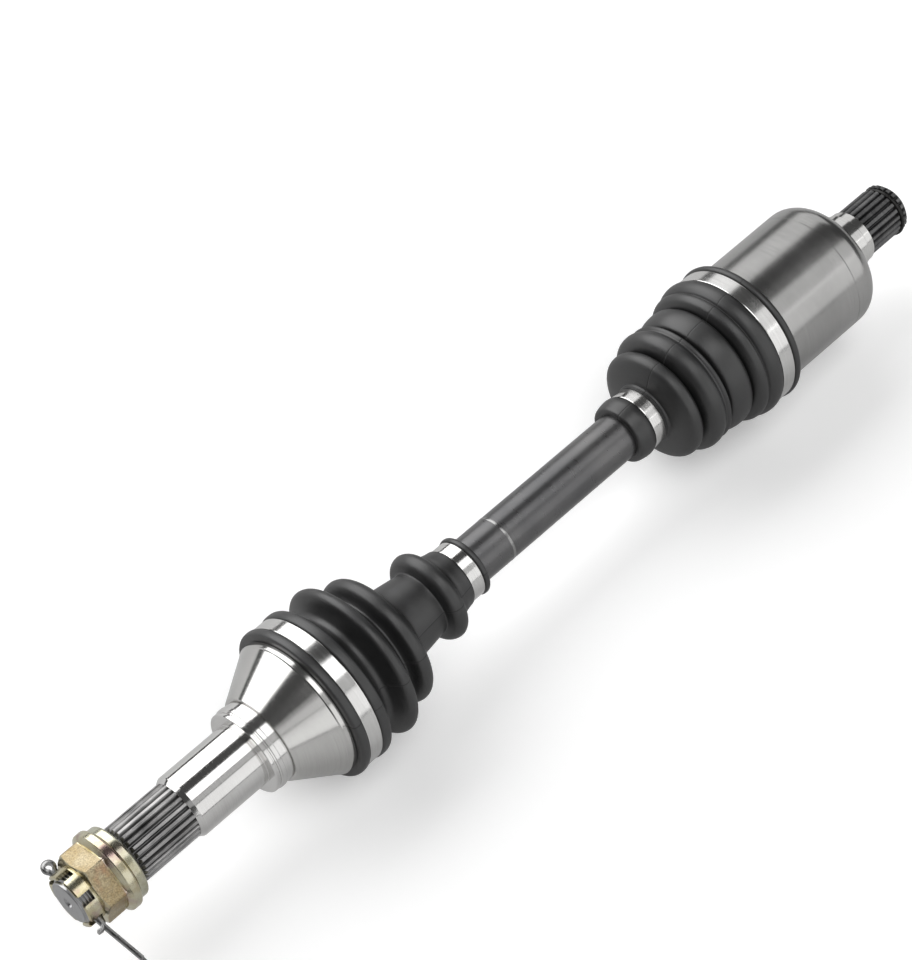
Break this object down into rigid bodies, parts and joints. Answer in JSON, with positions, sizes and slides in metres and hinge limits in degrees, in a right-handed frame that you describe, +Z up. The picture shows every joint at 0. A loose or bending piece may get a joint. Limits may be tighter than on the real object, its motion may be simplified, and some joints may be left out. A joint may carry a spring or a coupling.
{
  "type": "cv axle",
  "caption": "Half shaft with a fixed ball joint and castle nut at the wheel end and a plunging ball joint at the gearbox end, both in folded rubber boots.",
  "frame": {"origin": "centre of the shoulder face that the wheel bearing seats against, on the axle's axis", "axes": "+X along the axle towards the gearbox-end stub, -X towards the castle nut, +Z up as the axle lies on a floor"},
  "size_m": [0.515, 0.0771, 0.075],
  "materials": {
    "ground_steel": "turned and ground, bright, lightly oiled",
    "shaft_steel": "satin charcoal coat",
    "race_steel": "hardened and ground, greased",
    "ball_steel": "polished bearing steel",
    "zinc_plate": "yellow chromate zinc plating",
    "pin_steel": "bright zinc",
    "boot_rubber": "satin moulded rubber",
    "stainless": "smooth rolled stainless band",
    "wire_black": "black oxide spring wire"
  },
  "bodies": {
    "axle_shaft": {"axle_shaft": "shaft_steel", "outer_race": "race_steel", "outer_race_ring": "race_steel", "inner_race": "race_steel", "inner_race_ring": "race_steel", "outer_small_clamp": "stainless", "inner_small_clamp": "stainless"},
    "outer_ball_bottom": {"outer_ball_4": "ball_steel"},
    "outer_cage": {"outer_cage": "race_steel", "outer_ball_2": "ball_steel", "outer_ball_3": "ball_steel", "outer_ball_5": "ball_steel", "outer_ball_6": "ball_steel"},
    "outer_ball_top": {"outer_ball_1": "ball_steel"},
    "outer_housing": {"outer_housing": "ground_steel", "castle_nut": "zinc_plate", "nut_washer": "zinc_plate", "cotter_pin": "pin_steel", "outer_boot": "boot_rubber", "outer_big_clamp": "stainless"},
    "inner_ball_bottom": {"inner_ball_4": "ball_steel"},
    "inner_cage": {"inner_cage": "race_steel", "inner_ball_2": "ball_steel", "inner_ball_3": "ball_steel", "inner_ball_5": "ball_steel", "inner_ball_6": "ball_steel"},
    "inner_ball_top": {"inner_ball_1": "ball_steel"},
    "inner_boot": {"inner_boot": "boot_rubber"},
    "inner_housing": {"inner_housing": "ground_steel", "cup_retaining_ring": "race_steel", "stub_clip": "wire_black", "inner_big_clamp": "stainless"}
  },
  "joints": [
    {"name": "outer_pitch_a", "type": "hinge", "parent": "axle_shaft", "child": "outer_ball_bottom", "pos_m": [0.04, 0, 0], "axis": [0, 1, 0], "range_deg": [-8, 8], "deforming": ["outer_boot"]},
    {"name": "outer_yaw_a", "type": "hinge", "parent": "outer_ball_bottom", "child": "outer_cage", "pos_m": [0.04, 0, 0], "axis": [0, 0, 1], "range_deg": [-18, 18]},
    {"name": "outer_yaw_b", "type": "hinge", "parent": "outer_cage", "child": "outer_ball_top", "pos_m": [0.04, 0, 0], "axis": [0, 0, 1], "range_deg": [-18, 18]},
    {"name": "outer_pitch_b", "type": "hinge", "parent": "outer_ball_top", "child": "outer_housing", "pos_m": [0.04, 0, 0], "axis": [0, 1, 0], "range_deg": [-8, 8]},
    {"name": "inner_pitch_a", "type": "hinge", "parent": "axle_shaft", "child": "inner_ball_bottom", "pos_m": [0.327, 0, 0], "axis": [0, 1, 0], "range_deg": [-7, 7]},
    {"name": "inner_yaw_a", "type": "hinge", "parent": "inner_ball_bottom", "child": "inner_cage", "pos_m": [0.327, 0, 0], "axis": [0, 0, 1], "range_deg": [-7, 7]},
    {"name": "inner_yaw_b", "type": "hinge", "parent": "inner_cage", "child": "inner_ball_top", "pos_m": [0.327, 0, 0], "axis": [0, 0, 1], "range_deg": [-7, 7]},
    {"name": "inner_pitch_b", "type": "hinge", "parent": "inner_ball_top", "child": "inner_boot", "pos_m": [0.327, 0, 0], "axis": [0, 1, 0], "range_deg": [-7, 7]},
    {"name": "inner_plunge", "type": "slide", "parent": "inner_boot", "child": "inner_housing", "axis": [1, 0, 0], "range_m": [-0.01, 0.01], "deforming": ["inner_boot"]}
  ],
  "couplings": [
    {"joint": "outer_yaw_b", "follows": "outer_yaw_a", "ratio": 1},
    {"joint": "outer_pitch_b", "follows": "outer_pitch_a", "ratio": 1},
    {"joint": "inner_yaw_b", "follows": "inner_yaw_a", "ratio": 1},
    {"joint": "inner_pitch_b", "follows": "inner_pitch_a", "ratio": 1}
  ]
}
